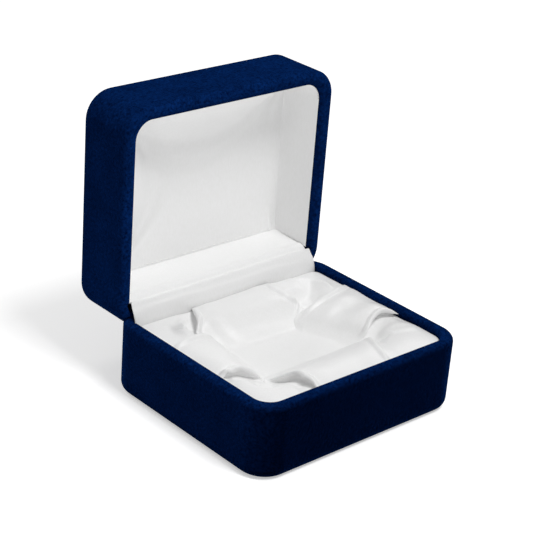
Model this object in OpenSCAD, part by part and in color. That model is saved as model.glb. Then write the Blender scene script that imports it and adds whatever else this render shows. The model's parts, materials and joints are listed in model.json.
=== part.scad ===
// Hinged jewellery gift box: velvet-covered shells, a snap hinge and a satin lining.
// It stands open. +Z is up, +X runs along the hinge, and the hinge is on the +Y side.
// The origin is the middle of the resting face. Millimetres.

/* [Box] */
// Outside width, along the hinge
box_w = 90; // [86:1:96]
// Outside depth, from front to hinge side
box_d = 78; // [76:1:84]
// Height of the base, from resting face to rim
base_h = 26.5; // [26:0.5:30]
// Height of the lid, from rim to closed face
lid_h = 24.5; // [24:0.5:28]
// Radius of the upright corners
corner_r = 10; // [9:0.5:12]
// Radius round the edge of each closed face
edge_r = 3.5; // [3.2:0.1:4.5]

/* [Walls] */
// Thickness of the moulded shells
shell_t = 2; // [1.6:0.1:2.2]
// Thickness of the velvet
velvet_t = 0.9; // [0.6:0.1:1]
// How far the velvet is turned in below the rim
turn_in = 9; // [8:0.5:10]
// Width of the velvet border turned under the base
border = 7; // [6:0.5:8]

/* [Hinge] */
// Angle between base and lid when the box stands open
open_angle = 90; // [80:1:90]
// Gap between the two rims when the box is shut
rim_gap = 0.8; // [0.6:0.1:1.2]
// Distance of the hinge pin from the outside of the hinge side
hinge_inset = 5.2; // [5.2:0.1:6]
// Length of the hinge
hinge_len = 60; // [50:1:62]
// Radius of the hinge pin
pin_r = 0.8; // [0.7:0.05:0.9]

/* [Lining] */
// Length of the well that holds the jewel
well_l = 46; // [42:1:48]
// Width of the well
well_w = 34; // [30:1:36]
// Height of the well's floor above the resting face
well_z = 17; // [14:0.5:19]
// Thickness of the satin
satin_t = 0.4; // [0.3:0.1:0.5]

/* [Hidden] */
$fn = 64;

clear = 0.05;                           // gap between pieces that are glued or tucked together
far = 200;                              // longer than anything in the model
wall_t = shell_t + 2 * velvet_t;        // wall with both layers of velvet
floor_t = velvet_t + shell_t;           // closed face with its velvet
hinge_y = box_d / 2 - hinge_inset;
groove_gap = 0.35;                      // free space on each side of the groove behind the hinge

// Hinge leaves and knuckles
knuckle_count = 5;
knuckle_pitch = hinge_len / knuckle_count;
knuckle_r = 1.35;
knuckle_gap = 0.15;                     // half the gap between two knuckles
bore_r = pin_r + clear;
pin_head_t = 0.6;
cam_r = 1.6;                            // corners of the square cams on the lid's knuckles
cam_flat = 1.25;                        // flats of those cams, from the axis
leaf_t = 0.5;
leaf_h = 10;                            // from the axis to the far edge of a leaf
leaf_relief = 1.9;                      // space round the other leaf's knuckles
leaf_y = hinge_y + knuckle_r - leaf_t;  // inner face of a leaf
rivet_r = 0.8;
rivet_head_r = 1.5;
rivet_head_t = 0.5;
rivet_drop = 6;                         // from the axis to the rivets
rivet_outer_x = hinge_len / 2 - 5;
rivet_inner_x = knuckle_pitch;          // beside the lid's knuckles, where the springs are
rivet_xs = [-rivet_outer_x, -rivet_inner_x, rivet_inner_x, rivet_outer_x];
spring_w = 8;
spring_t = 0.3;
spring_drop = 8;                        // from the axis to the foot of a spring
spring_gap = 0.2;                       // from a spring to the sweep of its cam

// Insert, wadding and satin in the base
card_t = 1;
insert_gap = 0.9;                       // from the insert to the velvet, where the satin is tucked
insert_r = 5;
insert_front = -box_d / 2 + wall_t + insert_gap;
insert_back = hinge_y - 3.6;
insert_y = (insert_front + insert_back) / 2;
insert_w = box_w - 2 * (wall_t + insert_gap);
insert_d = insert_back - insert_front;
insert_foot = floor_t + 2 * clear;
deck_top = 19.5;
deck_hole_gap = 2;                      // from the well to the hole in the insert's deck
well_r = 4;
roll_h = 6.1;                           // height of the wadding rolls over the deck
roll_start = 2.6;                       // from the well to the rolls
roll_taper = 5;                         // how much narrower a roll is at the wall, on each side
drape_z = deck_top + roll_h + 2 * clear;
tuck_z = 14;                            // how far down the satin is tucked
tail_y = insert_back + 0.8;
tail_z = 8;

// Lining of the lid
panel_t = 0.5;
lid_wadding_t = 0.9;
lining_inset = 5.1;                     // visible faces of the lining from the outside
lining_rim = 2;                         // from the rim to the top of the lining
flap_inset = 10.4;                      // visible face of the flap from the hinge side's outside
flap_rim = 3.2;                         // from the rim to the fold of the flap
flap_w = 78;
flap_card_t = 0.5;
panel_z = floor_t + clear;
lid_wadding_z = panel_z + panel_t + clear;
lining_z = lid_wadding_z + lid_wadding_t + clear;
lining_top = lining_z + satin_t;
lining_w = box_w - 2 * lining_inset;
flap_y = box_d / 2 - flap_inset;
lining_d = flap_y + box_d / 2 - lining_inset;
lining_y = flap_y - lining_d / 2;
lining_r = corner_r - lining_inset;
side_card_inset = wall_t + clear;
side_card_t = lining_inset - satin_t - clear - side_card_inset;
stitch_pitch = 2;
stitch_len = 1.4;
stitch_r = 0.16;
stitch_y = flap_y - 1;

velvet_colour = [0.02, 0.07, 0.27];
shell_colour = "midnightblue";
satin_colour = [0.96, 0.96, 0.98];
card_colour = "linen";
metal_colour = "silver";

// ---------- Shapes shared by both halves ----------

// Section of a tray: x runs inward from the outside, y runs up from the closed face.
module tray_section(h, outer, inner, floor_top) {
    rim_r = (inner - outer) / 2;
    translate([outer, edge_r]) square([inner - outer, h - outer - rim_r - edge_r]);
    translate([outer + rim_r, h - outer - rim_r]) circle(rim_r);
    intersection() {
        translate([edge_r, edge_r]) circle(edge_r - outer);
        square(edge_r);
    }
    translate([edge_r, outer]) square([corner_r - edge_r, floor_top - outer]);
}

// Carries a section round the four sides and corners.
module swept(w = box_w, d = box_d, r = corner_r) {
    for (i = [0 : 3]) rotate(90 * i) {
        length = i % 2 == 0 ? d - 2 * r : w - 2 * r;
        reach = i % 2 == 0 ? w / 2 : d / 2;
        translate([reach, length / 2, 0]) rotate([90, 0, 0])
            linear_extrude(length) mirror([1, 0]) children();
        translate([reach - r, length / 2, 0])
            rotate_extrude(angle = 90) translate([r, 0]) mirror([1, 0]) children();
    }
}

module rounded_plate(w, d, t, r) {
    linear_extrude(t) {
        square([w, d - 2 * r], center = true);
        square([w - 2 * r, d], center = true);
        for (x = [-1, 1], y = [-1, 1]) translate([x * (w / 2 - r), y * (d / 2 - r)]) circle(r);
    }
}

module middle_plate(z, t) {
    translate([corner_r - box_w / 2, corner_r - box_d / 2, z])
        cube([box_w - 2 * corner_r, box_d - 2 * corner_r, t]);
}

function axis_z(h) = h + rim_gap / 2;

// Everything behind the pin that would foul the other half as the box opens.
module hinge_groove(h, gap) {
    translate([0, hinge_y, axis_z(h)]) rotate([-45, 0, 0])
        translate([-far / 2, -far / 2, -gap]) cube([far, far, far / 2]);
}

module along_y(y, r, length) {
    translate([0, y, 0]) rotate([-90, 0, 0]) cylinder(h = length, r = r);
}

module at_rivets(h) {
    for (x = rivet_xs) translate([x, 0, axis_z(h) - rivet_drop]) children();
}

module rivet_holes(h) {
    at_rivets(h) {
        along_y(hinge_y, rivet_r + clear, hinge_inset - velvet_t);
        along_y(box_d / 2 - velvet_t - rivet_head_t, rivet_head_r, rivet_head_t);
    }
}

module shell_form(h, gap) {
    difference() {
        union() {
            swept() tray_section(h, velvet_t + gap, velvet_t + shell_t - gap, floor_t);
            middle_plate(velvet_t + gap, shell_t - gap);
        }
        hinge_groove(h, groove_gap + velvet_t + gap);
    }
}

module shell(h) {
    difference() {
        shell_form(h, clear);
        rivet_holes(h);
    }
}

// Velvet over the outside, over the rim and a little way down the inside.
module velvet(h, under) {
    difference() {
        swept() intersection() {
            tray_section(h, 0, wall_t, velvet_t);
            union() {
                square([under, edge_r]);
                translate([0, edge_r]) square([wall_t, h]);
            }
        }
        shell_form(h, 0);
        swept() translate([floor_t, velvet_t]) square([corner_r - floor_t, h - turn_in - velvet_t]);
        hinge_groove(h, groove_gap);
        rivet_holes(h);
    }
}

// ---------- Hinge hardware, in the frame of the half that carries it ----------

// A section about the pin, carried along knuckle n, counted from -X.
module knuckle_span(n, gap) {
    translate([n * knuckle_pitch - hinge_len / 2 + gap, 0, 0]) rotate([90, 0, 90])
        linear_extrude(knuckle_pitch - 2 * gap) children();
}

module cam_section() {
    intersection() {
        circle(cam_r);
        square(2 * cam_flat, center = true);
    }
}

module hinge_leaf(h, own, others) {
    difference() {
        union() {
            translate([knuckle_gap - hinge_len / 2, leaf_y, axis_z(h) - leaf_h])
                cube([hinge_len - 2 * knuckle_gap, leaf_t, leaf_h]);
            translate([0, hinge_y, axis_z(h)]) for (n = own) knuckle_span(n, knuckle_gap) children();
        }
        translate([0, hinge_y, axis_z(h)]) {
            for (n = own) knuckle_span(n, 0) circle(bore_r);
            for (n = others) knuckle_span(n, -knuckle_gap) square(2 * leaf_relief, center = true);
        }
        at_rivets(h) along_y(hinge_y, rivet_r + clear, hinge_inset);
    }
}

module rivet(head_y) {
    tail_end = box_d / 2 - velvet_t - clear;
    along_y(head_y - rivet_head_t, rivet_head_r, rivet_head_t);
    along_y(head_y - clear, rivet_r, tail_end - head_y + clear);
    along_y(tail_end - rivet_head_t + 2 * clear, rivet_head_r - clear, rivet_head_t - 2 * clear);
}

// ---------- Base ----------

module base_shell() {
    color(shell_colour) shell(base_h);
}

module base_velvet() {
    color(velvet_colour) velvet(base_h, border);
}

module bottom_sheet() {
    inset = border + clear;
    color("black")
        rounded_plate(box_w - 2 * inset, box_d - 2 * inset, velvet_t - clear, corner_r - inset);
}

// Card tray that carries the satin: a deck with a hole for the well, on a skirt.
module insert_tray() {
    hole_l = well_l + 2 * deck_hole_gap;
    hole_w = well_w + 2 * deck_hole_gap;
    color(card_colour) translate([0, insert_y, insert_foot]) difference() {
        rounded_plate(insert_w, insert_d, deck_top - insert_foot, insert_r);
        translate([0, 0, -card_t]) rounded_plate(insert_w - 2 * card_t, insert_d - 2 * card_t,
            deck_top - insert_foot, insert_r - card_t);
        rounded_plate(hole_l, hole_w, far, well_r);
    }
}

module well_pad() {
    color("ivory") translate([0, insert_y, insert_foot])
        rounded_plate(well_l, well_w, well_z - insert_foot, well_r);
}

// A roll of wadding with a round top, from the well outward along -Y.
module wadding_roll(length, reach) {
    bulge_r = (reach * reach / 4 + roll_h * roll_h) / (2 * roll_h);
    outer = length - 2 * roll_taper;
    intersection() {
        linear_extrude(roll_h)
            polygon([[-length / 2, 0], [length / 2, 0], [outer / 2, -reach], [-outer / 2, -reach]]);
        translate([-far / 2, -reach / 2, roll_h - bulge_r]) rotate([0, 90, 0])
            cylinder(h = far, r = bulge_r, $fn = 180);
    }
}

// Places a roll beside the well, turned to face the wall.
module beside_well(turn, half_well) {
    color("white") translate([0, insert_y, deck_top + clear]) rotate(turn)
        translate([0, -half_well - roll_start, 0]) children();
}

long_reach = insert_d / 2 - well_w / 2 - roll_start;
short_reach = insert_w / 2 - well_l / 2 - roll_start;

module wadding_front() {
    beside_well(0, well_w / 2) wadding_roll(well_l, long_reach);
}

module wadding_back() {
    beside_well(180, well_w / 2) wadding_roll(well_l, long_reach);
}

module wadding_left() {
    beside_well(-90, well_l / 2) wadding_roll(well_w, short_reach);
}

module wadding_right() {
    beside_well(90, well_l / 2) wadding_roll(well_w, short_reach);
}

// Satin over the rolls, down into the well, and tucked down round the insert.
module satin_drape() {
    tuck_gap = (insert_gap - satin_t) / 2;
    inner_w = insert_w + 2 * tuck_gap;
    inner_d = insert_d + 2 * tuck_gap;
    inner_r = insert_r + tuck_gap;
    tub_z = well_z + clear;
    color(satin_colour) translate([0, insert_y, 0]) difference() {
        union() {
            difference() {
                translate([0, 0, tuck_z]) rounded_plate(inner_w + 2 * satin_t, inner_d + 2 * satin_t,
                    drape_z + satin_t - tuck_z, inner_r + satin_t);
                translate([0, 0, tuck_z - clear])
                    rounded_plate(inner_w, inner_d, drape_z - tuck_z + clear, inner_r);
            }
            translate([0, 0, tub_z]) rounded_plate(well_l + 2 * satin_t, well_w + 2 * satin_t,
                drape_z + satin_t - tub_z, well_r + satin_t);
        }
        translate([0, 0, tub_z + satin_t]) rounded_plate(well_l, well_w, far, well_r);
    }
}

// End of the hinge flap that is tucked down behind the insert.
module flap_tail() {
    color(satin_colour) translate([-flap_w / 2, tail_y, tail_z])
        cube([flap_w, satin_t, axis_z(base_h) - tail_z]);
}

module hinge_base_leaf() {
    color(metal_colour) hinge_leaf(base_h, [0, 2, 4], [1, 3]) circle(knuckle_r);
}

module hinge_pin() {
    color(metal_colour) translate([-hinge_len / 2, hinge_y, axis_z(base_h)]) rotate([0, 90, 0]) {
        cylinder(h = hinge_len, r = pin_r);
        translate([0, 0, -pin_head_t]) cylinder(h = pin_head_t, r = knuckle_r);
        translate([0, 0, hinge_len]) cylinder(h = pin_head_t, r = knuckle_r);
    }
}

module base_rivets() {
    color(metal_colour) at_rivets(base_h) rivet(leaf_y - spring_t - 2 * clear);
}

// Flat springs on the base's leaf, with a bent end under each cam on the lid's knuckles.
module snap_springs() {
    top = axis_z(base_h) - cam_r - spring_gap;
    foot = axis_z(base_h) - spring_drop;
    plate_y = leaf_y - clear - spring_t;
    tongue_y = hinge_y - knuckle_r;
    color("gray") difference() {
        for (x = [-rivet_inner_x, rivet_inner_x]) translate([x - spring_w / 2, 0, 0]) {
            translate([0, plate_y, foot]) cube([spring_w, spring_t, top - foot]);
            translate([0, tongue_y, top - spring_t])
                cube([spring_w, plate_y + spring_t - tongue_y, spring_t]);
        }
        at_rivets(base_h) along_y(hinge_y, rivet_r + clear, knuckle_r);
    }
}

// ---------- Lid, each piece drawn closed face down and then stood open ----------

module stood_open() {
    translate([0, hinge_y, axis_z(base_h)]) rotate([-open_angle, 0, 0])
        translate([0, -hinge_y, axis_z(lid_h)]) mirror([0, 0, 1]) children();
}

module lid_shell() {
    color(shell_colour) stood_open() shell(lid_h);
}

module lid_velvet() {
    color(velvet_colour) stood_open() {
        velvet(lid_h, corner_r);
        middle_plate(0, velvet_t);
    }
}

module lid_panel_card() {
    color(card_colour) stood_open() translate([0, lining_y, panel_z])
        rounded_plate(lining_w, lining_d, panel_t, lining_r);
}

module lid_wadding() {
    color("ivory") stood_open() translate([0, lining_y, lid_wadding_z])
        rounded_plate(lining_w, lining_d, lid_wadding_t, lining_r);
}

// Three walls of a box open at the top and on the hinge side.
module three_walls(inset, t, bottom, top) {
    w = box_w - 2 * inset;
    d = box_d - 2 * inset;
    translate([0, 0, bottom]) difference() {
        rounded_plate(w, d, top - bottom, corner_r - inset);
        translate([0, 0, -t]) rounded_plate(w - 2 * t, d - 2 * t, far, corner_r - inset - t);
        translate([-far / 2, flap_y, -t]) cube([far, far, far]);
    }
}

module lid_side_card() {
    color(card_colour) stood_open() three_walls(side_card_inset, side_card_t,
        edge_r + clear, lid_h - lining_rim - satin_t);
}

// Satin over the panel and up the three walls, in one piece.
module lid_lining() {
    color(satin_colour) stood_open() {
        translate([0, lining_y, lining_z]) rounded_plate(lining_w, lining_d, satin_t, lining_r);
        three_walls(lining_inset - satin_t, satin_t, lining_z, lid_h - lining_rim);
    }
}

module flap_card() {
    color(card_colour) stood_open() translate([-flap_w / 2, flap_y + satin_t + 2 * clear, panel_z])
        cube([flap_w, flap_card_t, lid_h - flap_rim - satin_t - panel_z]);
}

// Satin over the flap's card, from the seam to the fold by the hinge.
module hinge_flap() {
    color(satin_colour) stood_open() translate([-flap_w / 2, flap_y + clear, lining_z])
        cube([flap_w, satin_t, lid_h - flap_rim - lining_z]);
}

module seam_stitches() {
    count = floor(flap_w / stitch_pitch);
    color("white") stood_open()
        for (i = [0 : count - 1])
            translate([(i - (count - 1) / 2) * stitch_pitch - stitch_len / 2,
                    stitch_y, lining_top + stitch_r + clear])
                rotate([0, 90, 0]) cylinder(h = stitch_len, r = stitch_r, $fn = 16);
}

module hinge_lid_leaf() {
    color(metal_colour) stood_open() hinge_leaf(lid_h, [1, 3], [0, 2, 4]) {
        union() {
            circle(knuckle_r);
            cam_section();
        }
    }
}

module lid_rivets() {
    color(metal_colour) stood_open() at_rivets(lid_h) rivet(leaf_y - clear);
}

base_shell();
base_velvet();
bottom_sheet();
insert_tray();
well_pad();
wadding_front();
wadding_back();
wadding_left();
wadding_right();
satin_drape();
flap_tail();
hinge_base_leaf();
hinge_pin();
base_rivets();
snap_springs();
lid_shell();
lid_velvet();
lid_panel_card();
lid_wadding();
lid_side_card();
lid_lining();
flap_card();
hinge_flap();
seam_stitches();
hinge_lid_leaf();
lid_rivets();
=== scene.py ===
"""The looks of a hinged velvet jewellery box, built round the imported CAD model."""

import json
import math

import bmesh
import bpy
import numpy as np
from mathutils import Matrix, Vector, noise


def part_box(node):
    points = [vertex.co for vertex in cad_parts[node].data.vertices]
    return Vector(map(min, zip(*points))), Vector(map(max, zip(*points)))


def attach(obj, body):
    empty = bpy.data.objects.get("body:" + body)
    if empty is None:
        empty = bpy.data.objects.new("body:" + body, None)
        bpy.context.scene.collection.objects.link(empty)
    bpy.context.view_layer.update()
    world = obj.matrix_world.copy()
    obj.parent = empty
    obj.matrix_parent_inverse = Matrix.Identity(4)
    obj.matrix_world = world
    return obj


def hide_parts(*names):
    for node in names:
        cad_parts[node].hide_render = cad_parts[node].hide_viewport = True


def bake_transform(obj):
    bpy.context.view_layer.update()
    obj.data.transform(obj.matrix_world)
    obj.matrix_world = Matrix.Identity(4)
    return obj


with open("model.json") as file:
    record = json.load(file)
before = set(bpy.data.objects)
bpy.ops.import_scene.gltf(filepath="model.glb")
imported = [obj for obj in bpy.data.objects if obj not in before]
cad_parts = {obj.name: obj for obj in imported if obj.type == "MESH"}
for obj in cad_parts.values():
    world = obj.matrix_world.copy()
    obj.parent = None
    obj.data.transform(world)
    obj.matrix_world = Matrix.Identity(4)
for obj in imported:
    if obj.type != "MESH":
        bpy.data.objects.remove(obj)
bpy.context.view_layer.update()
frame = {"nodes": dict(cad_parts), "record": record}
MM = 0.001
node_objects = frame["nodes"]


# ---------- Camera and lights ----------

CAMERA_AZIMUTH, CAMERA_ELEVATION, CAMERA_ROLL = -43.18, 25.14, 4.53
CAMERA_DISTANCE, CAMERA_LENS = 0.54232, 109.76
AIM_HEIGHT, AIM_RIGHT, AIM_UP = 0.030, -0.00793, 0.01679


def look(azimuth, elevation):
    """The direction from the object to something that stands there."""
    a, e = math.radians(azimuth), math.radians(elevation)
    return Vector((math.sin(a) * math.cos(e), -math.cos(a) * math.cos(e), math.sin(e)))


def make_camera():
    """A long lens at the front left, tilted a little about its own axis."""
    back = look(CAMERA_AZIMUTH, CAMERA_ELEVATION)
    side = (-back).cross(Vector((0, 0, 1))).normalized()
    up = side.cross(-back)
    roll = math.radians(CAMERA_ROLL)
    right = side * math.cos(roll) + up * math.sin(roll)
    up = right.cross(-back)
    aim = Vector((0, 0, AIM_HEIGHT)) + right * AIM_RIGHT + up * AIM_UP
    data = bpy.data.cameras.new("camera")
    data.lens, data.sensor_width = CAMERA_LENS, 36
    data.clip_start, data.clip_end = 0.05, 20
    camera = bpy.data.objects.new("camera", data)
    bpy.context.scene.collection.objects.link(camera)
    camera.location = aim + back * CAMERA_DISTANCE
    camera.rotation_mode = "QUATERNION"
    camera.rotation_quaternion = Matrix((right, up, back)).transposed().to_quaternion()
    bpy.context.scene.camera = camera


def area_light(name, azimuth, elevation, distance, size, watts):
    data = bpy.data.lights.new(name, "AREA")
    data.shape, data.size = "DISK", size
    data.energy = watts
    light = bpy.data.objects.new(name, data)
    bpy.context.scene.collection.objects.link(light)
    aim = Vector((0, 0, AIM_HEIGHT))
    direction = look(azimuth, elevation)
    light.location = aim + direction * distance
    light.rotation_mode = "QUATERNION"
    light.rotation_quaternion = direction.to_track_quat("Z", "Y")


def make_lights():
    world = bpy.data.worlds.new("studio")
    bpy.context.scene.world = world
    world.use_nodes = True
    background = world.node_tree.nodes["Background"]
    background.inputs["Color"].default_value = (1, 1, 1, 1)
    background.inputs["Strength"].default_value = 0.26
    area_light("key", 4, 64, 0.9, 0.3, 4.5)
    area_light("side", 110, 40, 0.9, 0.2, 0.7)
    area_light("rear", -150, 45, 0.9, 0.3, 1.2)


make_camera()
make_lights()
bpy.context.scene.view_settings.view_transform = "Standard"


# ---------- Materials ----------

class Shader:
    """A material's node tree, built one node at a time."""

    def __init__(self, name):
        self.material = bpy.data.materials.new(name)
        self.material.use_nodes = True
        self.tree = self.material.node_tree
        self.tree.nodes.clear()
        self.output = self.tree.nodes.new("ShaderNodeOutputMaterial")
        self.principled = self.add("ShaderNodeBsdfPrincipled")
        self.link(self.principled, "BSDF", self.output, "Surface")

    def add(self, kind, **settings):
        node = self.tree.nodes.new(kind)
        for key, value in settings.items():
            setattr(node, key, value)
        return node

    def link(self, node, output, other, socket):
        self.tree.links.new(node.outputs[output], other.inputs[socket])

    def set(self, **values):
        for key, value in values.items():
            self.principled.inputs[key.replace("_", " ")].default_value = value

    def place(self, stretch=(1, 1, 1), source="Object"):
        coordinates = self.add("ShaderNodeTexCoord")
        mapping = self.add("ShaderNodeMapping")
        mapping.inputs["Scale"].default_value = stretch
        self.link(coordinates, source, mapping, "Vector")
        return mapping

    def noise(self, scale, detail=3, roughness=0.5, stretch=(1, 1, 1), source="Object"):
        mapping = self.place(stretch, source)
        pattern = self.add("ShaderNodeTexNoise")
        pattern.inputs["Scale"].default_value = scale
        pattern.inputs["Detail"].default_value = detail
        pattern.inputs["Roughness"].default_value = roughness
        self.link(mapping, "Vector", pattern, "Vector")
        return pattern

    def ramp(self, node, output, stops):
        ramp = self.add("ShaderNodeValToRGB")
        elements = ramp.color_ramp.elements
        for i, (position, colour) in enumerate(stops):
            element = elements[i] if i < 2 else elements.new(position)
            element.position = position
            element.color = (*colour, 1)
        self.link(node, output, ramp, "Fac")
        return ramp

    def multiply(self, first, second):
        """The product of two sockets, as a socket."""
        product = self.add("ShaderNodeMix", data_type="RGBA", blend_type="MULTIPLY")
        product.inputs["Factor"].default_value = 1
        self.tree.links.new(first, product.inputs[6])
        self.tree.links.new(second, product.inputs[7])
        return product.outputs[2]

    def bump(self, node, output, height, strength=1.0, after=None):
        bump = self.add("ShaderNodeBump")
        bump.inputs["Distance"].default_value = height
        bump.inputs["Strength"].default_value = strength
        self.link(node, output, bump, "Height")
        if after is not None:
            self.link(after, "Normal", bump, "Normal")
        self.link(bump, "Normal", self.principled, "Normal")
        return bump


def velvet_material(name, painted_light_direction, level, painted_shade_limit):
    """Short pile, with painted light and shade. Faces that turn toward the given direction are painted
    lightest, as if lit, and the others darker, as painted shade, but none darker than the given lowest
    share of the pile's colour."""
    s = Shader(name)
    flock = s.noise(1000, 4, 0.8)
    brushed = s.noise(75, 5, 0.65)
    fibre = s.ramp(flock, "Fac", [(0.34, (0.0003, 0.005, 0.034)), (0.66, (0.0030, 0.030, 0.160))])
    worn = s.ramp(brushed, "Fac", [(0.3, (0.6, 0.6, 0.6)), (0.7, (1, 1, 1))])
    # Painted light: the pile's colour is scaled by how far each face turns toward the given direction, so
    # those faces are painted lighter and the rest darker, as painted shade.
    coordinates = s.add("ShaderNodeTexCoord")
    along = s.add("ShaderNodeVectorMath", operation="DOT_PRODUCT")
    along.inputs[1].default_value = painted_light_direction
    s.link(coordinates, "Normal", along, 0)
    painted_light_share = s.add("ShaderNodeMath", operation="ADD", use_clamp=True)
    painted_light_share.inputs[1].default_value = level
    s.link(along, "Value", painted_light_share, 0)
    painted_light_factor = s.add("ShaderNodeMath", operation="MAXIMUM")
    painted_light_factor.inputs[1].default_value = painted_shade_limit
    s.link(painted_light_share, "Value", painted_light_factor, 0)
    brushed_fibre = s.multiply(fibre.outputs["Color"], worn.outputs["Color"])
    fibre_with_painted_light = s.multiply(brushed_fibre, painted_light_factor.outputs["Value"])
    s.tree.links.new(fibre_with_painted_light, s.principled.inputs["Base Color"])
    s.set(Roughness=1.0, Sheen_Weight=1.0, Sheen_Roughness=0.3, Sheen_Tint=(0.003, 0.03, 0.16, 1),
          Specular_IOR_Level=0.0)
    lay = s.bump(s.noise(500, 4, 0.7), "Fac", 0.0003, 0.5)
    s.bump(flock, "Fac", 0.0005, 0.8, after=lay)
    return s.material


def satin_material():
    s = Shader("white_satin")
    warp = s.noise(1800, 3, 0.6, stretch=(1, 1, 0.3))
    tint = s.ramp(warp, "Fac", [(0.35, (0.855, 0.855, 0.85)), (0.65, (0.885, 0.885, 0.885))])
    s.link(tint, "Color", s.principled, "Base Color")
    # The faint white emission is painted light: the satin glows a little, which lifts its shade in the
    # folds and hollows.
    s.set(Roughness=0.42, Sheen_Weight=0.1, Sheen_Roughness=0.3, Specular_IOR_Level=0.62,
          Emission_Color=(1, 1, 1, 1), Emission_Strength=0.035)
    weave = s.noise(2600, 3, 0.6, stretch=(1, 0.3, 1))
    s.bump(weave, "Fac", 0.00004, 0.5)
    return s.material


def mottled(name, light, dark, roughness, grain, metallic=0.0):
    """A material whose colour wanders between two, to which its own relief is added."""
    s = Shader(name)
    spread = s.noise(grain, 5, 0.65)
    mixed = s.ramp(spread, "Fac", [(0.3, dark), (0.7, light)])
    s.link(mixed, "Color", s.principled, "Base Color")
    shine = s.ramp(spread, "Fac", [(0.2, (roughness * 0.8,) * 3), (0.8, (min(roughness * 1.15, 1),) * 3)])
    s.link(shine, "Color", s.principled, "Roughness")
    s.set(Metallic=metallic)
    return s


def card_material():
    s = mottled("chip_card", (0.62, 0.56, 0.46), (0.43, 0.38, 0.30), 0.9, 700)
    fibres = s.noise(1600, 4, 0.7, stretch=(1, 0.3, 1))
    s.bump(fibres, "Fac", 0.00012, 0.7)
    return s.material


def plastic_material():
    s = mottled("moulded_plastic", (0.018, 0.024, 0.055), (0.010, 0.014, 0.034), 0.45, 120)
    s.bump(s.noise(2400, 2, 0.5), "Fac", 0.00004, 0.6)
    return s.material


def steel_material(name, light, dark, roughness, lines):
    s = mottled(name, light, dark, roughness, 300, metallic=1.0)
    brushed = s.noise(lines, 3, 0.6, stretch=(0.04, 1, 1))
    s.bump(brushed, "Fac", 0.00003, 0.5)
    return s.material


def wadding_material():
    s = mottled("wadding", (0.9, 0.9, 0.88), (0.74, 0.74, 0.72), 1.0, 900)
    s.set(Sheen_Weight=0.4, Sheen_Roughness=0.6)
    fluff = s.noise(700, 6, 0.8)
    s.bump(fluff, "Fac", 0.0006, 0.9)
    return s.material


def thread_material():
    s = mottled("sewing_thread", (0.97, 0.97, 0.96), (0.88, 0.88, 0.87), 0.55, 2500)
    mapping = s.place((1, 0.6, 0.6))
    twist = s.add("ShaderNodeTexWave", bands_direction="DIAGONAL")
    twist.inputs["Scale"].default_value = 900
    s.link(mapping, "Vector", twist, "Vector")
    s.bump(twist, "Color", 0.00008, 0.7)
    return s.material


def leatherette_material():
    s = mottled("leatherette", (0.010, 0.016, 0.05), (0.004, 0.007, 0.026), 0.6, 260)
    mapping = s.place()
    cells = s.add("ShaderNodeTexVoronoi", feature="DISTANCE_TO_EDGE")
    cells.inputs["Scale"].default_value = 900
    s.link(mapping, "Vector", cells, "Vector")
    pebbles = s.ramp(cells, "Distance", [(0.0, (0, 0, 0)), (0.25, (1, 1, 1))])
    s.bump(pebbles, "Color", 0.00015, 0.8)
    return s.material


# The base's and the lid's velvet differ only in their painted light: each is painted lightest on faces
# toward its own direction and darker, as painted shade, on the others.
BASE_VELVET = velvet_material("navy_velvet_base", (-0.16, 0.12, 0.66), 0.19, 0.06)
LID_VELVET = velvet_material("navy_velvet_lid", (-0.04, -0.42, 0.44), 0.44, 0.3)
SATIN = satin_material()
CARD = card_material()
PLASTIC = plastic_material()
HINGE_STEEL = steel_material("plated_steel", (0.80, 0.76, 0.66), (0.62, 0.58, 0.50), 0.3, 2000)
SPRING_STEEL = steel_material("spring_steel", (0.50, 0.52, 0.56), (0.36, 0.38, 0.42), 0.38, 3000)
WADDING = wadding_material()
THREAD = thread_material()
LEATHERETTE = leatherette_material()

FINISHES = {
    "shell_plastic": PLASTIC, "velvet": BASE_VELVET, "base_paper": LEATHERETTE, "satin": SATIN,
    "card": CARD, "wadding": WADDING, "hinge_steel": HINGE_STEEL, "spring_steel": SPRING_STEEL,
    "thread": THREAD,
}


def finish_cad_nodes():
    for part in frame["record"]["subparts"]:
        piece = node_objects[part["node"]]
        piece.data.materials.clear()
        piece.data.materials.append(FINISHES[part["material_slot"]])
    node_objects["lid_velvet"].data.materials[0] = LID_VELVET


finish_cad_nodes()


# ---------- Floor ----------

def make_floor():
    bpy.ops.mesh.primitive_plane_add(size=6, location=(0, 0, 0))
    floor = bpy.context.object
    floor.name = "floor"
    s = Shader("floor_paper")
    s.set(Base_Color=(0.9, 0.9, 0.9, 1), Roughness=0.9, Emission_Color=(1, 1, 1, 1), Emission_Strength=0.45)
    floor.data.materials.append(s.material)


make_floor()


# ---------- Helpers for soft pieces, in millimetres ----------

def ease(t):
    """0 to 1, level at both ends."""
    t = np.clip(t, 0, 1)
    return t * t * (3 - 2 * t)


def mix(a, b, t):
    return a + (b - a) * t


def through(points, values, t):
    """A smooth curve through the points, which it reaches at those values of t."""
    points = np.asarray(points, float)
    values = np.asarray(values, float)
    slopes = np.gradient(points, values, axis=0)
    t = np.clip(t, values[0], values[-1])
    i = np.clip(np.searchsorted(values, t, side="right") - 1, 0, len(values) - 2)
    spread = (slice(None),) + (None,) * (points.ndim - 1)
    h = (values[i + 1] - values[i])[spread]
    u = ((t - values[i]) / (values[i + 1] - values[i]))[spread]
    return ((2 * u**3 - 3 * u**2 + 1) * points[i] + (u**3 - 2 * u**2 + u) * h * slopes[i]
            + (3 * u**2 - 2 * u**3) * points[i + 1] + (u**3 - u**2) * h * slopes[i + 1])


def lumps(points, size, seed=0.0):
    """Smooth noise from about -1 to 1 at each point."""
    shift = Vector((seed, seed * 1.7, seed * 0.6))
    return np.array([noise.noise(Vector(p) / size + shift) for p in points])


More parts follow.
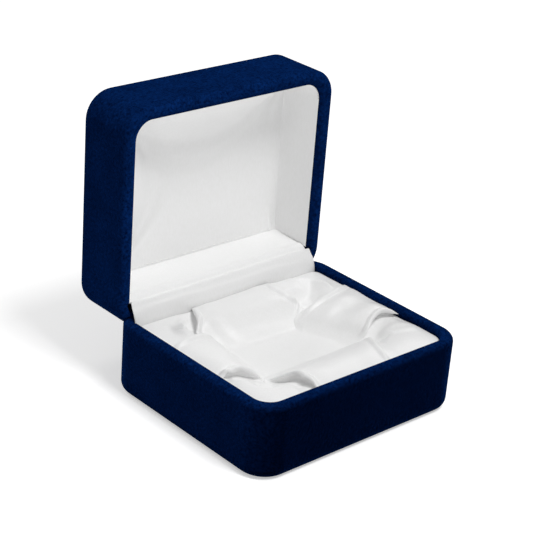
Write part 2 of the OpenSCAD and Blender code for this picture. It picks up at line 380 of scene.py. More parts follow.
def grid_mesh(name, points, closed=False, centre=None):
    """A mesh over rows of points, all in millimetres. closed joins the last column to the first."""
    rows, columns = points.shape[:2]
    vertices = [tuple(p * MM) for p in points.reshape(-1, 3)]
    faces = []
    for i in range(rows - 1):
        for j in range(columns if closed else columns - 1):
            k = (j + 1) % columns
            faces.append((i * columns + j, i * columns + k, (i + 1) * columns + k, (i + 1) * columns + j))
    if centre is not None:
        vertices.append(tuple(np.asarray(centre) * MM))
        faces += [(len(vertices) - 1, (j + 1) % columns, j) for j in range(columns)]
    mesh = bpy.data.meshes.new(name)
    mesh.from_pydata(vertices, [], faces)
    mesh.polygons.foreach_set("use_smooth", [True] * len(mesh.polygons))
    piece = bpy.data.objects.new(name, mesh)
    bpy.context.scene.collection.objects.link(piece)
    return piece


def patch_mesh(name, patches):
    """One mesh from several grids, welded where their edges meet."""
    mesh = bmesh.new()
    for patch in patches:
        piece = grid_mesh(name, patch)
        mesh.from_mesh(piece.data)
        bpy.data.objects.remove(piece)
    bmesh.ops.remove_doubles(mesh, verts=mesh.verts, dist=1e-6)
    bmesh.ops.recalc_face_normals(mesh, faces=mesh.faces)
    data = bpy.data.meshes.new(name)
    mesh.to_mesh(data)
    data.polygons.foreach_set("use_smooth", [True] * len(data.polygons))
    piece = bpy.data.objects.new(name, data)
    bpy.context.scene.collection.objects.link(piece)
    return piece


def apply_modifiers(piece):
    bpy.context.view_layer.update()
    graph = bpy.context.evaluated_depsgraph_get()
    piece.data = bpy.data.meshes.new_from_object(piece.evaluated_get(graph))
    piece.modifiers.clear()


# ---------- Wadding and pads ----------

def pillow(name, low, high, round_x, round_y):
    """A closed form on a flat bottom, which falls away from its crown along x and y."""
    u = np.sin(np.linspace(-1, 1, 41) * math.pi / 2)
    x, y = np.meshgrid(u, u, indexing="ij")
    rise = np.sqrt(np.clip((1 - np.abs(x) ** round_x) * (1 - np.abs(y) ** round_y), 0, 1))
    centre, half = (low + high) / 2, (high - low) / 2
    plan_x, plan_y = centre[0] + half[0] * x, centre[1] + half[1] * y
    top = np.stack([plan_x, plan_y, low[2] + (high[2] - low[2]) * rise], axis=-1)
    bottom = np.stack([plan_x, plan_y, np.full_like(x, low[2])], axis=-1)
    return patch_mesh(name, [top, bottom])


def puff(piece, voxel, pressure, most):
    """Blows the piece up as cloth, and moves no point further than most, in millimetres."""
    remesh = piece.modifiers.new("remesh", "REMESH")
    remesh.mode, remesh.voxel_size = "VOXEL", voxel * MM
    apply_modifiers(piece)
    before = np.array([v.co for v in piece.data.vertices])
    cloth = piece.modifiers.new("puff", "CLOTH")
    cloth.settings.quality = 5
    cloth.settings.use_pressure = True
    cloth.settings.uniform_pressure_force = pressure
    cloth.settings.effector_weights.gravity = 0
    scene = bpy.context.scene
    for step in range(1, 21):
        scene.frame_set(step)
    apply_modifiers(piece)
    scene.frame_set(1)
    after = np.array([v.co for v in piece.data.vertices])
    move = after - before
    size = np.linalg.norm(move, axis=1)[:, None]
    move *= np.minimum(1, most * MM / np.maximum(size, 1e-9))
    piece.data.vertices.foreach_set("co", (before + move).ravel())
    smooth = piece.modifiers.new("smooth", "SUBSURF")
    smooth.levels = smooth.render_levels = 1
    apply_modifiers(piece)
    piece.data.polygons.foreach_set("use_smooth", [True] * len(piece.data.polygons))


def make_pad(name, node, body, low, high, round_x, round_y, fill, voxel=1.2, most=0.35):
    pad = pillow(name, np.array(low, float), np.array(high, float), round_x, round_y)
    puff(pad, voxel, 4.0, most)
    finish_pad(pad, node, body)


def finish_pad(pad, node, body):
    pad.data.materials.clear()
    pad.data.materials.append(WADDING)
    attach(pad, body)
    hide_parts(node)


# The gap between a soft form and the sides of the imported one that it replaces.
PAD_CLEARANCE = 0.5

# How far each roll of wadding reaches along its side, inside the drape's folds.
ROLL_REACH = {"front": (-12.0, 9.0), "back": (-14.5, 11.0), "left": (-6.0, 6.0), "right": (-3.5, 5.5)}


def make_wadding_rolls():
    for side, (start, end) in ROLL_REACH.items():
        low, high = (np.array(c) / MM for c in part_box(f"wadding_{side}"))
        along = 0 if side in ("front", "back") else 1
        low[along], high[along] = start, end
        low += PAD_CLEARANCE
        high -= (PAD_CLEARANCE, PAD_CLEARANCE, 0.9)
        shape = (8, 2) if along == 0 else (2, 8)
        make_pad(f"wadding_roll_{side}", f"wadding_{side}", "base", low, high, *shape, fill=0.5)


def make_well_pad():
    low, high = (np.array(c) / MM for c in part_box("well_pad"))
    low += (PAD_CLEARANCE, PAD_CLEARANCE, 0.4)
    high -= (PAD_CLEARANCE, PAD_CLEARANCE, 0.3)
    make_pad("well_pad_foam", "well_pad", "base", low, high, 14, 14, fill=0.8, voxel=1.6, most=0.3)


def make_lid_wadding():
    """A thin sheet that stands on its edge against the lid's panel, with its soft side to the satin."""
    low, high = (np.array(c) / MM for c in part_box("lid_wadding"))
    thickness = high[1] - low[1] - 0.2
    edge = 0.4
    flat_low = np.array((low[0] + edge, low[2] + edge, 0.1))
    flat_high = np.array((high[0] - edge, high[2] - edge, thickness))
    pad = pillow("lid_wadding_sheet", flat_low, flat_high, 20, 20)
    for vertex in pad.data.vertices:
        x, up, out = vertex.co
        dimple = 0.1 * noise.noise(Vector((x, up, 0)) / (6 * MM)) * out
        vertex.co = (x, high[1] * MM - out + dimple, up)
    finish_pad(pad, "lid_wadding", "lid")


make_wadding_rolls()
make_well_pad()
make_lid_wadding()


# ---------- Satin over the base ----------

well_low, well_high = (np.array(c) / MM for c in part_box("well_pad"))
drape_low, drape_high = (np.array(c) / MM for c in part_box("satin_drape"))
DRAPE_FLOOR = well_high[2] + 0.8
DECK_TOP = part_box("insert_tray")[1].z / MM
DECK_HOLE_X, DECK_HOLE_Y = well_high[0] + 2, (well_high[1] - well_low[1]) / 2 + 2
WELL_Y = (well_low[1] + well_high[1]) / 2
WALL_X = drape_high[0] - 0.2
WALL_Y = (drape_low[1] + 0.2, drape_high[1] - 0.2)
WALL_R, BACK_R = 6.0, 2.5

# Each side of the drape is a roll that ends in two lips, which lie over the corners.
# A lip is a curve from the floor over the crest to the wall, its mouth gapes over the corner,
# and the satin is folded under it. The steps say how far along each of its points comes.
LIP_STEPS = (0.0, 0.2, 0.38, 0.56, 0.76, 1.0)
FRONT = {
    "wall": (0, -1),
    "start": {"path": [(-17.5, -10.5, 17.9), (-21.6, -15, 20.2), (-21.2, -20.4, 23.6), (-19, -24.2, 26.1),
                       (-18.2, -28.5, 26.4), (-17.8, -34.75, 24.3)], "gape": 3.8, "under": 1.4},
    "end": {"path": [(17, -11, 17.9), (21.5, -14, 20.8), (20.3, -18.2, 23.8), (17, -23, 26.0),
                     (14.8, -28, 26.4), (14.0, -34.75, 24.3)], "gape": 1.3, "under": 3},
}
RIGHT = {
    "wall": (1, 0),
    "start": {"path": [(17.5, -8.5, 17.9), (22.5, -12.2, 20.2), (25.4, -12.0, 23.4), (29.5, -10.2, 25.8),
                       (35, -9.2, 26.7), (40.75, -11.4, 24.6)], "gape": 4.2, "under": 2.2},
    "end": {"path": [(12.0, 9.5, 17.9), (15.0, 11.2, 20.3), (19.5, 11.0, 23.5), (25.5, 10.9, 25.7),
                     (32.5, 12.0, 26.2), (40.75, 15, 24.8)], "gape": 1.6, "under": 3},
}
BACK = {
    "wall": (0, 1),
    "start": {"path": [(11.0, 9.0, 17.9), (16.0, 13.2, 19.8), (19.6, 16.4, 22.8), (17.2, 19.2, 25.1),
                       (15.6, 24, 26.2), (17, 30.65, 25.4)], "gape": 1.8, "under": 3},
    "end": {"path": [(-15, 9.5, 17.9), (-22, 13.8, 19.8), (-25.2, 17.4, 23.0), (-22.8, 20.2, 25.5),
                     (-20.6, 24, 26.2), (-16.8, 30.65, 24.9)], "gape": 4.0, "under": 2.2},
}
LEFT = {
    "wall": (-1, 0),
    "start": {"path": [(-18, 8.5, 17.9), (-20.6, 12.2, 20.2), (-23.6, 12.9, 23.4), (-28.6, 12.6, 25.8),
                       (-35, 11.8, 26.4), (-40.75, 12, 24.6)], "gape": 1.8, "under": 3},
    "end": {"path": [(-18.5, -8.5, 17.9), (-22.6, -13, 19.6), (-26.8, -13.4, 23.2), (-31, -12.4, 25.8),
                     (-35.2, -11.4, 26.4), (-40.75, -12.4, 24.4)], "gape": 4.0, "under": 1.5},
}
ROLLS = [FRONT, RIGHT, BACK, LEFT]

# The four corners in the same order, each after its roll. Each rises from the floor to a ridge
# and falls a little to the wall. The ridge's place is its share of the way out, at the lips and
# in the middle of the corner.
RIDGE_STEPS = (0.0, 0.35, 0.7, 0.9, 1.0)
CORNERS = [
    {"rise": (17.9, 19.0, 21.6, 24.0, 24.5), "ridge": (0.86, 0.44), "crown": 0.9, "wall": 23.9},
    {"rise": (17.9, 18.4, 20.0, 23.8, 25.0), "ridge": (0.80, 0.84), "crown": 0.0, "wall": 24.2},
    {"rise": (17.9, 19.4, 22.4, 24.0, 24.3), "ridge": (0.72, 0.52), "crown": 0.2, "wall": 24.3},
    {"rise": (17.9, 18.3, 19.4, 23.2, 25.4), "ridge": (0.93, 0.62), "crown": 0.3, "wall": 23.9},
]


def corner_height(corner, v, share):
    """Up to the ridge, then over a low crown to the wall."""
    at_lips, in_middle = corner["ridge"]
    ridge = mix(at_lips, in_middle, math.sin(math.pi * share) ** 0.8)
    rise = through(np.array(corner["rise"])[:, None], RIDGE_STEPS, np.clip(v / ridge, 0, 1))[:, 0]
    beyond = np.clip((v - ridge) / (1 - ridge), 0, 1)
    fall = (corner["wall"] - corner["rise"][-1]) * beyond**1.5
    return rise + fall + corner["crown"] * np.sin(math.pi * beyond)


def lip_gape(lip, v):
    """How far the corner lies under the lip: closed low on the slope, and almost closed at the wall."""
    arch = np.sin(math.pi * np.clip((v - 0.16) / 0.9, 0, 1)) ** 0.8
    return np.maximum(lip["gape"] * arch, 0.9 * ease((v - 0.2) / 0.2) * (1 - ease((v - 0.85) / 0.15)))


def wall_path(a, b, t):
    """Along the wall from a, round the corner, to b, as arc length goes from 0 to 1."""
    radius = BACK_R if a[1] > 0 else WALL_R
    cx = math.copysign(WALL_X - radius, a[0])
    cy = WALL_Y[1] - radius if a[1] > 0 else WALL_Y[0] + radius
    on_end_wall = abs(a[1]) > abs(b[1])
    p = (cx, a[1]) if on_end_wall else (a[0], cy)
    q = (b[0], cy) if on_end_wall else (cx, b[1])
    p, q, c = np.array(p, float), np.array(q, float), np.array((cx, cy))
    first, turn = np.linalg.norm(p - a), radius * math.pi / 2
    last = np.linalg.norm(b - q)
    s = t * (first + turn + last)
    angle = np.clip((s - first) / radius, 0, math.pi / 2)[:, None]
    arc = c + np.cos(angle) * (p - c) + np.sin(angle) * (q - c)
    straight_a = a + (p - a) * (s / max(first, 1e-6))[:, None]
    straight_b = q + (b - q) * ((s - first - turn) / max(last, 1e-6))[:, None]
    after = np.where((s > first + turn)[:, None], straight_b, arc)
    return np.where((s < first)[:, None], straight_a, after)


def floor_arc(a, b, t):
    """Round the corner of the well's floor, from a to b."""
    corner = np.array((max(a[0], b[0], key=abs), max(a[1], b[1], key=abs)))
    t = t[:, None]
    return (1 - t) ** 2 * a + 2 * t * (1 - t) * corner + t**2 * b


FOLD_SAMPLES, ROLL_SAMPLES, CORNER_SAMPLES = 44, 36, 40

# A lip's section from its roll to the corner, as steps outward from the lip. Low down it is open
# and plain. Above, it is a bead, then it turns under the lip and comes out again: from FOLD_TURN to
# FOLD_END the steps are shares of how far the satin goes under. FOLD_BEAD is the bead's height, and
# FOLD_DROP is the share of the gape that the satin has fallen by.
FOLD_OPEN = (-3.0, -2.3, -1.6, -0.9, -0.4, 0.0, 0.1, 0.3, 0.5, 0.7, 1.0, 1.6)
FOLD_SHUT = (-3.0, -2.0, -1.1, -0.1, 0.5, 0.3, -0.6, -0.97, -1.06, -1.0, -0.35, 1.6)
FOLD_TURN, FOLD_END = 7, 11
FOLD_BEAD = (0, -0.3, 0.5, 0.75, 0.15, -0.6, -0.8, -0.2, 0, 0, 0, 0)
FOLD_DROP = (0, 0, 0, 0.02, 0.05, 0.1, 0.12, 0.45, 0.75, 0.95, 1.0, 1.0)

# How far from a lip, across its fold, the roll starts on one side and the corner on the other.
ROLL_START, CORNER_START = 3.2, 1.7


def fold_columns(lip, curve, outward, v, mouth_first):
    """The satin turns under the lip, runs back, turns again, and comes out as the corner."""
    plan, top = curve[:, :2], curve[:, 2]
    fold = ease((v - 0.14) / 0.3)
    under = lip["under"] * fold
    gape = lip_gape(lip, v)
    steps_out, heights = [], []
    for i, (plain, shut, drop, bead) in enumerate(zip(FOLD_OPEN, FOLD_SHUT, FOLD_DROP, FOLD_BEAD)):
        reach = shut * under if FOLD_TURN <= i < FOLD_END else shut
        steps_out.append(mix(plain, reach, fold))
        heights.append(top - gape * drop + bead * fold * (1 - ease((v - 0.9) / 0.1)))
    steps = np.arange(len(FOLD_OPEN), dtype=float)
    fine = np.linspace(0, steps[-1], FOLD_SAMPLES)
    steps_out = through(np.array(steps_out), steps, fine)
    heights = through(np.array(heights), steps, fine)
    columns = [np.column_stack([plan + outward * e[:, None], z]) for e, z in zip(steps_out, heights)]
    return columns[::-1] if mouth_first else columns


def roll_columns(start, end, along, v):
    """From one lip to the other, with a slight flutter that dies away from each."""
    a, b = start[:, :2] + along * ROLL_START, end[:, :2] - along * ROLL_START
    length = np.linalg.norm(b - a, axis=1)
    columns = []
    for s in np.linspace(0, 1, ROLL_SAMPLES):
        flutter = 0.0
        for away in (s * length, (1 - s) * length):
            flutter = flutter + 0.3 * np.sin(away / 1.9) * np.exp(-away / 5.0)
        height = mix(start[:, 2], end[:, 2], float(ease(s))) + flutter * ease(v / 0.4)
        columns.append(np.column_stack([mix(a, b, s), height]))
    return columns


def corner_columns(corner, a, b, za, zb, v):
    """Round a corner, from the curve at one lip's mouth to the curve at the next lip's mouth."""
    shares = np.linspace(0, 1, CORNER_SAMPLES + 2)[1:-1]
    floor, wall = floor_arc(a[0], b[0], shares), wall_path(a[-1], b[-1], shares)
    columns = []
    for i, share in enumerate(shares):
        w = float(ease(share))
        from_a = a + np.outer(1 - v, floor[i] - a[0]) + np.outer(v, wall[i] - a[-1])
        from_b = b + np.outer(1 - v, floor[i] - b[0]) + np.outer(v, wall[i] - b[-1])
        middle = float(ease(min(share, 1 - share) / 0.2))
        height = mix(mix(za, zb, w), corner_height(corner, v, share), middle)
        columns.append(np.column_stack([mix(from_a, from_b, w), height]))
    return columns


def drape_columns(v):
    """The sheet's columns in order round the well. Each is a curve from the floor to the wall."""
    lips = [[through(roll[end]["path"], LIP_STEPS, v) for end in ("start", "end")] for roll in ROLLS]
    ways = [np.array((-roll["wall"][1], roll["wall"][0]), float) for roll in ROLLS]
    columns = []
    for k, roll in enumerate(ROLLS):
        start, end = lips[k]
        n = (k + 1) % len(ROLLS)
        following, next_start = ROLLS[n], lips[n][0]
        columns += fold_columns(roll["start"], start, -ways[k], v, mouth_first=True)
        columns += roll_columns(start, end, ways[k], v)
        columns += fold_columns(roll["end"], end, ways[k], v, mouth_first=False)
        a = end[:, :2] + ways[k] * CORNER_START
        b = next_start[:, :2] - ways[n] * CORNER_START
        za = end[:, 2] - lip_gape(roll["end"], v)
        zb = next_start[:, 2] - lip_gape(following["start"], v)
        columns += corner_columns(CORNERS[k], a, b, za, zb, v)
    return np.array(columns)


# Soft swellings and hollows in the drape: centre, half sizes, turn in degrees, height.
SWELLINGS = [
    ((-29.2, 20.5), (1.7, 4.0), 10, 1.3),
    ((-33.2, 20.0), (1.8, 5.0), 12, -0.7),
    ((-18.4, 16.5), (1.1, 5.5), 20, 0.7),
    ((-14.9, 17.0), (1.3, 6.0), 25, -0.5),
    ((-11.4, 17.5), (1.3, 6.0), 28, 0.3),
    ((-4.0, 13.0), (13.0, 1.4), -3, 0.7),
    ((-3.0, 9.8), (13.0, 1.4), -4, -0.45),
    ((-1.0, 7.0), (12.0, 1.3), -5, 0.25),
    ((23.5, 17.5), (3.2, 3.4), 35, -1.4),
    ((28.5, 24.5), (5.5, 1.3), -22, 0.6),
    ((35.0, 19.5), (1.4, 4.0), 10, 0.5),
    ((27.0, 5.0), (8.0, 2.2), 5, 0.6),
    ((26.0, 0.5), (7.5, 2.2), -6, -0.6),
    ((26.0, -4.5), (7.0, 2.0), -5, 0.45),
    ((0.0, -17.0), (12.0, 1.7), 2, 0.4),
    ((-26.5, 0.0), (2.0, 6.5), 0, 0.4),
    ((6.0, -6.0), (9.0, 3.0), 25, 0.3),
    ((-8.0, 1.0), (9.0, 2.5), 15, -0.25),
]


def drape_relief(points):
    relief = np.zeros(len(points))
    for centre, size, turn, height in SWELLINGS:
        a = math.radians(turn)
        x, y = points[:, 0] - centre[0], points[:, 1] - centre[1]
        u = (x * math.cos(a) + y * math.sin(a)) / size[0]
        w = (y * math.cos(a) - x * math.sin(a)) / size[1]
        relief += height * np.exp(-(u * u + w * w))
    return relief


# Creases that stand up or sink along a line: its points, half width and height.
CREASES = [
    ([(-38.5, -9.6), (-36.0, -14.4), (-32.0, -20.4), (-27.4, -25.2), (-17.6, -32.0)], 0.8, 1.3),
    ([(-36.0, -8.6), (-33.6, -13.4), (-29.6, -18.6), (-25.0, -23.2), (-16.0, -29.0)], 1.3, -1.2),
    ([(18.7, 28.8), (24.3, 29.2), (29.2, 27.6), (33.4, 24.3), (35.1, 19.4), (34.3, 15.0)], 0.9, 0.95),
    ([(20.0, 25.9), (24.6, 26.3), (28.6, 24.7), (31.3, 21.8), (32.2, 18.0)], 1.5, -0.9),
    ([(19.2, 15.6), (18.8, 17.6), (20.2, 19.0), (21.9, 17.8), (21.8, 15.9)], 0.6, 0.6),
    ([(20.0, 14.6), (20.4, 17.2), (21.0, 17.4)], 0.7, -0.8),
    ([(-24.2, 27.4), (-27.2, 24.8), (-28.5, 21.6), (-27.2, 18.6), (-25.0, 16.8)], 0.8, 0.9),
    ([(-23.2, 26.0), (-25.2, 23.4), (-25.4, 20.6), (-24.2, 18.4)], 0.9, -0.9),
    ([(-31.0, 26.0), (-31.8, 22.0), (-30.4, 17.6)], 1.3, -0.6),
    ([(28.0, -18.5), (32.0, -21.0), (38.0, -22.5)], 1.4, 0.5),
    ([(17.5, -20.0), (18.6, -25.0), (19.0, -32.0)], 0.9, -0.4),
]


def crease_relief(points):
    relief = np.zeros(len(points))
    for line, width, height in CREASES:
        t = np.linspace(0, 1, 70)
        path = through(line, np.linspace(0, 1, len(line)), t)
        away = np.linalg.norm(points[:, None, :2] - path[None], axis=2)
        nearest = away.argmin(axis=1)
        fade = np.sin(math.pi * t) ** 0.5
        relief += height * fade[nearest] * np.exp(-(away.min(axis=1) / width) ** 2)
    return relief


def over_the_deck(points):
    """The lowest the satin may lie: on the deck, or inside the hole, on the pad."""
    inside_x = DECK_HOLE_X - np.abs(points[..., 0])
    inside_y = DECK_HOLE_Y - np.abs(points[..., 1] - WELL_Y)
    inside = np.minimum(inside_x, inside_y)
    return np.clip(DECK_TOP + 0.45 - 1.5 * np.maximum(inside - 0.5, 0), DRAPE_FLOOR - 0.2, None)


# How far the drape's edge is tucked down beside the insert, and the smoothing that it gets.
TUCK = (0.5, 1.2, 2.5, 5, 8)
COLUMN_SMOOTHING, HEIGHT_SMOOTHING = 2, 10
DRAPE_CENTRE = np.array((0, WELL_Y + 1.5, DRAPE_FLOOR))


def drape_rows():
    """Rings of points from the middle of the pad, over the rolls, to the edge tucked by the wall."""
    columns = drape_columns(np.linspace(0, 1, 70))
    for _ in range(COLUMN_SMOOTHING):
        columns = (np.roll(columns, 1, 0) + 2 * columns + np.roll(columns, -1, 0)) / 4
    inner = [mix(DRAPE_CENTRE, columns[:, 0], q) for q in np.linspace(0.06, 0.97, 24)]
    tucked = []
    for down in TUCK:
        ring = columns[:, -1].copy()
        ring[:, 2] -= down
        tucked.append(ring)
    return np.array(inner + list(columns.transpose(1, 0, 2)) + tucked)


def settle_drape(rows):
    """Adds the swellings and creases, and keeps the satin above the deck and the pad."""
    points = rows.reshape(-1, 3)
    level = lumps(points * (1, 1, 0.2), 9.0, 3.0) * 0.28 + lumps(points * (1, 1, 0.2), 4.0, 8.0) * 0.08
    weight = np.ones(rows.shape[:2])
    weight[-len(TUCK) - 1:] = 0
    rows[..., 2] += (level + drape_relief(points)).reshape(rows.shape[:2]) * weight
    shown = rows[:-len(TUCK)]
    z = shown[..., 2]
    for _ in range(HEIGHT_SMOOTHING):
        z[1:-1] = (z[:-2] + 2 * z[1:-1] + z[2:]) / 4
    z[:-1] += crease_relief(shown[:-1].reshape(-1, 3)).reshape(z[:-1].shape)
    lowest = over_the_deck(shown)
    above = z - lowest
    z[:] = lowest + (above + np.sqrt(above**2 + 0.2)) / 2


def make_drape():
    rows = drape_rows()
    settle_drape(rows)
    drape = grid_mesh("satin_drape_folds", rows, closed=True, centre=DRAPE_CENTRE)
    drape.data.materials.append(SATIN)
    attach(drape, "base")
    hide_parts("satin_drape")


make_drape()


# ---------- Satin in the lid ----------

lining_low, lining_high = (np.array(c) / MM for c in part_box("lid_lining"))
flap_low, flap_high = (np.array(c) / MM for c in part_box("hinge_flap"))
SATIN_T = flap_high[2] - flap_low[2]
LINING_X = lining_high[0] - SATIN_T
LINING_TOP = lining_high[2] - SATIN_T
LINING_RIM = lining_low[1]
LINING_DEPTH = lining_high[1] - SATIN_T - LINING_RIM
SEAM_Z = flap_high[2] + 0.9
LINING_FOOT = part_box("flap_card")[1].z / MM + 0.15
CORNER_R = 6.5


def wall_share(d, reach, power):
    """0 at the rim to 1 on the panel, as the satin leaves the wall over that reach."""
    left = np.clip(1 - d / reach, 0, 1)
    return (1 - left**power) ** (1 / power)


def round_top_corners(x, z):
    """Moves a rectangle's points in at its two top corners, so that they lie on an arc there."""
    a = np.clip((np.abs(x) - (LINING_X - CORNER_R)) / CORNER_R, 0, 1)
    b = np.clip((z - (LINING_TOP - CORNER_R)) / CORNER_R, 0, 1)
    both = (a > 0) & (b > 0)
    x2 = np.sign(x) * (LINING_X - CORNER_R + CORNER_R * a * np.sqrt(1 - b * b / 2))
    z2 = LINING_TOP - CORNER_R + CORNER_R * b * np.sqrt(1 - a * a / 2)
    return np.where(both, x2, x), np.where(both, z2, z)


# The swag that runs along each wall: its depth, its waves, and where along the wall's reach it is.
SWAG_DEPTH, SWAG_WAVES, SWAG_PLACE, SWAG_SPREAD = 0.85, 1.6, 0.95, 0.3

# Gathers that fan out from each top corner: its side, reach, count and strength.
GATHERS = ((-1, 26, 11, 0.85), (1, 20, 13, 1.0))

# A pleat at the right end of the seam: its distance from the wall, its height and its depth.
PLEAT_INSET, PLEAT_HEIGHT, PLEAT_DEPTH = 2.4, 11, 0.9


def corner_gather(x, z, side, reach, count, strength):
    dx, dz = LINING_X - side * x, LINING_TOP - z
    radius = np.hypot(dx, dz)
    angle = np.arctan2(dz, dx)
    fade = np.exp(-radius / reach) * ease(radius / 6) * np.sin(2 * angle) ** 2
    return strength * fade * np.sin(count * angle)


def seam_pleat(x, z):
    share = np.clip((z - SEAM_Z) / PLEAT_HEIGHT, 0, 1)
    place = x - (LINING_X - PLEAT_INSET) + 0.8 * share
    pinch = np.exp(-(place / 0.6) ** 2) - 0.8 * np.exp(-((place + 1.7) / 0.9) ** 2)
    return PLEAT_DEPTH * pinch * (1 - ease(share)) * ease((z - SEAM_Z) / 1.5)


def lining_depth(x, z):
    """How far behind the rim the satin is: it hangs in curves from the rim to the panel."""
    up = (z - SEAM_Z) / (LINING_TOP - SEAM_Z)
    across = (x + LINING_X) / (2 * LINING_X)
    bow_side = np.sin(math.pi * np.clip(up * 0.96 + 0.02, 0, 1))
    bow_top = np.sin(math.pi * np.clip(across, 0, 1))
    left_reach, top_reach = 3.0 + 21.0 * bow_side, 2.6 + 23.0 * bow_top
    left = wall_share(x + LINING_X, left_reach, 1.4)
    right = wall_share(LINING_X - x, 1.3 + 0.5 * bow_side, 3.5)
    top = wall_share(LINING_TOP - z, top_reach, 1.4)
    foot = 1 - 0.05 * (1 - ease((z - SEAM_Z) / (4 + 20 * bow_top)))
    depth = (LINING_DEPTH - 0.7) * left * right * top * foot
    for away, reach, bow in ((LINING_TOP - z, top_reach, bow_top), (x + LINING_X, left_reach, bow_side)):
        q = away / reach - SWAG_PLACE
        depth -= SWAG_DEPTH * np.cos(2 * math.pi * q * SWAG_WAVES) * np.exp(-(q / SWAG_SPREAD) ** 2) * bow
    for gather in GATHERS:
        depth += corner_gather(x, z, *gather)
    depth += seam_pleat(x, z)
    spare = LINING_DEPTH + 0.1 - depth
    return LINING_DEPTH + 0.1 - (spare + np.sqrt(spare**2 + 0.25)) / 2


def make_lining():
    p = np.linspace(-1, 1, 150)
    x = LINING_X * np.sign(p) * (1 - (1 - np.abs(p)) ** 1.8)
    q = np.linspace(0, 1, 120)
    z = mix(LINING_FOOT, LINING_TOP, 1 - (1 - q) ** 1.6)
    grid_x, grid_z = np.meshgrid(x, z)
    depth = lining_depth(grid_x, grid_z)
    round_x, round_z = round_top_corners(grid_x, grid_z)
    rows = np.stack([round_x, LINING_RIM + depth, round_z], axis=-1)
    wobble = lumps(rows.reshape(-1, 3), 14.0, 5.0).reshape(depth.shape)
    rows[..., 1] += 0.12 * (wobble - 1) * ease(depth / LINING_DEPTH)
    lining = grid_mesh("lid_lining_satin", rows)
    lining.data.materials.append(SATIN)
    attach(lining, "lid")
    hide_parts("lid_lining")


make_lining()


# ---------- Velvet turned in at the rims ----------

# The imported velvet's wall, from its outer face to its inner face, and its outer corner radius.
VELVET_WALL, VELVET_CORNER = 3.8, 10.0

# The sections of the velvet's turned edges. Each step is a share of the way from the pile on the
# rim to the satin, and a depth below the rim.
# TURN_START and TURN_END are how far outside the velvet's inner face the base's edge starts and ends,
# and TURN_BACK is where it stops beside the hinge.
TURN_START, TURN_END, TURN_BACK = 1.5, -0.78, 30.0
LID_TURN = ((0, 0.12), (0.14, 0.08), (0.29, 0.12), (0.38, 0.26), (0.57, 0.58), (0.71, 0.9), (0.86, 1.35),
            (0.96, 1.85), (1, 2.35), (0.96, 2.8))
BASE_TURN = ((0, 0.12), (0.17, 0.06), (0.35, 0.06), (0.57, 0.2), (0.75, 0.5), (0.9, 1.0), (1, 1.7),
             (1, 2.4), (0.88, 3.1))


def outline(half, foot, top, radius):
    """Along one side, round a corner, over the top, round the other corner and back, as two columns."""
    way = math.copysign(1, top - foot)
    side = np.linspace(0, 1, 24, endpoint=False)
    left = np.column_stack([np.full(24, -half), mix(foot, top - way * radius, side)])
    angle = np.linspace(0, math.pi / 2, 16)
    arc_across = radius - half - radius * np.cos(angle)
    arc = np.column_stack([arc_across, top - way * radius * (1 - np.sin(angle))])
    middle = np.column_stack([np.linspace(radius - half, 0, 12)[1:], np.full(11, top)])
    part = np.concatenate([left, arc, middle])
    return np.concatenate([part, (part * (-1, 1))[-2::-1]])


def turned_edge(outer, inner, section):
    """Rows of outline points and depths, from the pile to the satin."""
    steps = np.arange(len(section), dtype=float)
    fine = through(section, steps, np.linspace(0, steps[-1], 40))
    return np.array([np.column_stack([mix(outer, inner, s), np.full(len(outer), d)]) for s, d in fine])


def velvet_edge(name, rows, body, material):
    turn = grid_mesh(name, rows)
    turn.data.materials.append(material)
    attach(turn, body)


def make_lid_turn():
    low, high = (np.array(c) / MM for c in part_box("lid_velvet"))
    reach = TURN_START - VELVET_WALL
    outer = outline(high[0] + reach, LINING_FOOT, high[2] + reach, VELVET_CORNER + reach)
    inner = outline(LINING_X, LINING_FOOT, LINING_TOP, CORNER_R)
    rows = turned_edge(outer, inner, LID_TURN)
    rows[..., 2] += low[1]
    velvet_edge("lid_rim_velvet", rows[::-1][..., [0, 2, 1]], "lid", LID_VELVET)


def make_base_turn():
    low, high = (np.array(c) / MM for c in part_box("base_velvet"))
    curves = []
    for reach in (TURN_START - VELVET_WALL, TURN_END - VELVET_WALL):
        curves.append(outline(high[0] + reach, TURN_BACK, low[1] - reach, VELVET_CORNER + reach))
    rows = turned_edge(*curves, BASE_TURN)
    rows[..., 2] = high[2] - rows[..., 2]
    velvet_edge("base_rim_velvet", rows, "base", BASE_VELVET)


make_lid_turn()
make_base_turn()


# ---------- Satin over the hinge ----------

def thicken(piece, thickness):
    """Gives a sheet its thickness, away from the side that its faces look to."""
    solid = piece.modifiers.new("thickness", "SOLIDIFY")
    solid.thickness, solid.offset = thickness * MM, -1
    apply_modifiers(piece)


# The flap's section, from the seam to its tucked end, as y and z.
FLAP_SECTION = [
    (LINING_RIM + LINING_DEPTH - 1.0, SEAM_Z + 0.1), (51.5, 32.75), (48, 32.4), (44, 32.25), (40, 32.1),
    (38.2, 32.0), (36.4, 31.7), (34.6, 31.0), (32.9, 29.4), (31.8, 27.0),
    (31.2, 24.0), (31.1, 21.0), (31.1, 15.0), (31.1, 9.0),
]

# Creases across the flap: place as y, how far each wanders, half width and share of CREASE_DEPTH.
FLAP_CREASES = [
    (36.2, 0.5, 0.75, 1.0), (34.8, 0.5, 0.7, -0.6), (38.6, -0.5, 0.9, -0.4), (33.4, -0.8, 0.6, 0.3),
]
CREASE_DEPTH = 0.85

# Along the flap from the seam: where its loose part starts and ends.
LOOSE_START, LOOSE_END = 12, 27


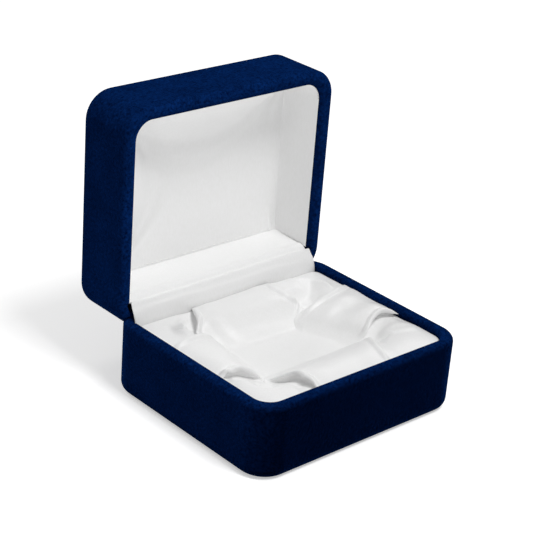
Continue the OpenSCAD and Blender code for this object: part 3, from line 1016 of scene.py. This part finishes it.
def flap_rows():
    """Rows of points along the flap's section, with each row's distance from the seam and each
    column's share of the half width."""
    section = np.array(FLAP_SECTION)
    lengths = np.concatenate([[0], np.cumsum(np.linalg.norm(np.diff(section, axis=0), axis=1))])
    t = np.linspace(0, lengths[-1], 110)
    curve = through(section, lengths, t)
    x = np.linspace(-1, 1, 160)
    over = ease((t - 14) / 8)
    half = mix(LINING_X - 0.3, WALL_X - 0.1, over)
    rows = np.empty((len(t), len(x), 3))
    rows[..., 0] = half[:, None] * x[None, :]
    rows[..., 1:] = curve[:, None, :]
    return rows, t, x


def crumple_flap(rows, t, x):
    """Ripples in the loose part, and creases that wander a little across the flap."""
    flat = rows.reshape(-1, 3)
    ripple = lumps(flat * (0.35, 1, 1), 5.0, 11.0).reshape(rows.shape[:2])
    broad = lumps(flat * (0.5, 0.6, 0.6), 16.0, 2.0).reshape(rows.shape[:2])
    loose = (ease((t - LOOSE_START) / 4) * (1 - ease((t - LOOSE_END) / 4)))[:, None]
    rows[..., 2] += (0.30 * ripple + 0.25 * broad) * loose
    rows[..., 1] -= 0.12 * ripple * loose
    wander = lumps(np.column_stack([10 * x, 0 * x, 0 * x]), 3.2, 7.0)
    crease = np.zeros(rows.shape[:2])
    for place, shift, width, depth in FLAP_CREASES:
        crease += depth * np.exp(-((rows[..., 1] - place - shift * wander) / width) ** 2)
    rows[..., 2] -= CREASE_DEPTH * crease * (t < LOOSE_END)[:, None]


def make_flap():
    """One strip of satin from the seam in the lid, over the hinge, to behind the insert."""
    rows, t, x = flap_rows()
    crumple_flap(rows, t, x)
    flap = grid_mesh("hinge_flap_satin", rows[:, ::-1])
    thicken(flap, 0.3)
    flap.data.materials.clear()
    flap.data.materials.append(SATIN)
    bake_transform(flap)
    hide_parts("hinge_flap", "flap_tail")


make_flap()


# ---------- Thread along the seam ----------

STITCH_PITCH, STITCH_LENGTH, STITCH_RADIUS = 2.0, 1.6, 0.17
STITCH_SIDES = 8


def add_stitch(mesh, x, y, z):
    """One loop of thread along x, highest in its middle, that sinks into the satin at both ends."""
    rings = []
    for s in np.linspace(-1, 1, 9):
        rise = 0.2 * (1 - s * s) - 0.12
        thick = STITCH_RADIUS * math.sqrt(max(1 - (abs(s) ** 3), 0.05))
        ring = []
        for a in np.linspace(0, 2 * math.pi, STITCH_SIDES, endpoint=False):
            offset = (-rise * 0.8 + thick * math.cos(a), rise * 0.5 + thick * math.sin(a))
            place = Vector((x + s * STITCH_LENGTH / 2, y + offset[0], z + offset[1]))
            ring.append(mesh.verts.new(place * MM))
        rings.append(ring)
    for a, b in zip(rings, rings[1:]):
        for k in range(STITCH_SIDES):
            n = (k + 1) % STITCH_SIDES
            mesh.faces.new((a[k], a[n], b[n], b[k]))
    mesh.faces.new(rings[0])
    mesh.faces.new(rings[-1][::-1])


def make_stitches():
    """Short raised loops of thread along the seam."""
    low, high = (np.array(c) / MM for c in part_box("seam_stitches"))
    count = int(round((high[0] - low[0] - 1.4) / STITCH_PITCH)) + 1
    mesh = bmesh.new()
    z = SEAM_Z + 0.8
    for i in range(count):
        x = (i - (count - 1) / 2) * STITCH_PITCH
        add_stitch(mesh, x, LINING_RIM + lining_depth(np.array(x), np.array(z)) - 0.12, z)
    bmesh.ops.recalc_face_normals(mesh, faces=mesh.faces)
    data = bpy.data.meshes.new("seam_thread")
    mesh.to_mesh(data)
    data.polygons.foreach_set("use_smooth", [True] * len(data.polygons))
    stitches = bpy.data.objects.new("seam_thread", data)
    bpy.context.scene.collection.objects.link(stitches)
    stitches.data.materials.append(THREAD)
    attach(stitches, "lid")
    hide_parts("seam_stitches")


make_stitches()
